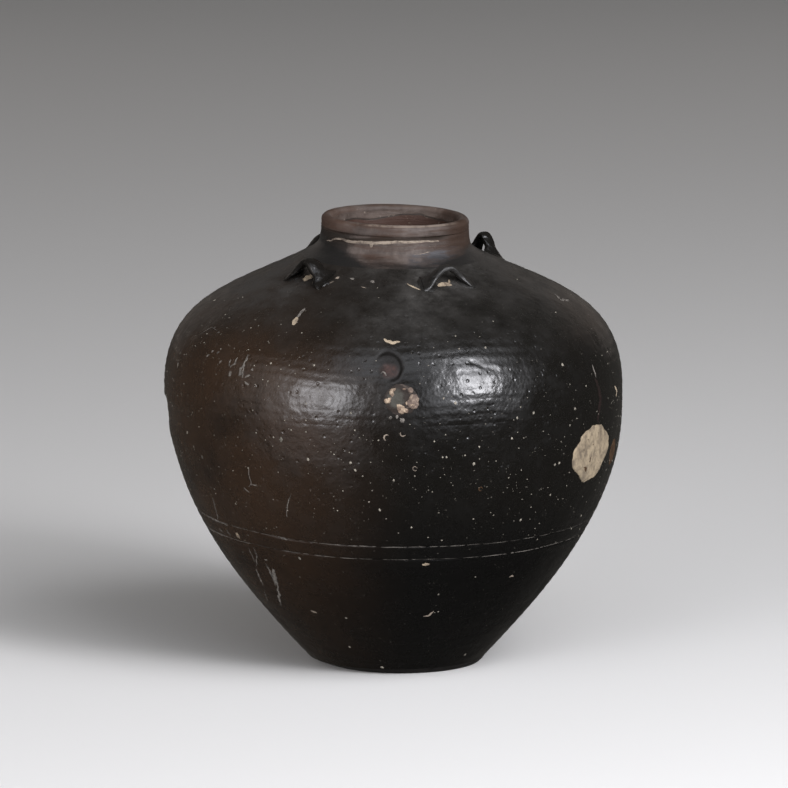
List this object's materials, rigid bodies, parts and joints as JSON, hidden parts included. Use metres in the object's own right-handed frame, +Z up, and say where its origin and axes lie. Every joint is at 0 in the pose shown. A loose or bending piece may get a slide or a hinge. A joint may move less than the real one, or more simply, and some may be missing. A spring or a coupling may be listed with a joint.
{
  "type": "storage jar",
  "caption": "Wide-shouldered ceramic storage jar with a narrow foot, a short neck with a rolled lip, strap lugs round the neck and a cut double line low on the body.",
  "frame": {"origin": "centre of the foot's plane under the middle of the belly, on the surface the jar stands on", "axes": "+Z up through the mouth, -Y towards the front of the jar where the crumb scar is, +X to the right seen from the front"},
  "size_m": [0.458, 0.4593, 0.4518],
  "materials": {
    "black_brown_glaze": "glossy dark brown-black glaze with orange-peel, pits and dust",
    "bare_neck_clay": "matte grey-brown clay with throwing lines",
    "foot_clay": "dull dark clay",
    "pale_scar_clay": "rough pale clay"
  },
  "bodies": {
    "root": {"base_disc": "foot_clay", "lower_body": "black_brown_glaze", "shoulder": "black_brown_glaze", "neck": "bare_neck_clay", "lip": "bare_neck_clay", "lug_front_right": "black_brown_glaze", "lug_back_right": "black_brown_glaze", "lug_back_left": "black_brown_glaze", "lug_front_left": "black_brown_glaze", "scar_crumb_top_left": "pale_scar_clay", "scar_crumb_left": "pale_scar_clay", "scar_crumb_bottom": "pale_scar_clay", "scar_crumb_right": "pale_scar_clay", "scar_crumb_top_right": "pale_scar_clay", "side_scar": "pale_scar_clay"}
  },
  "joints": []
}
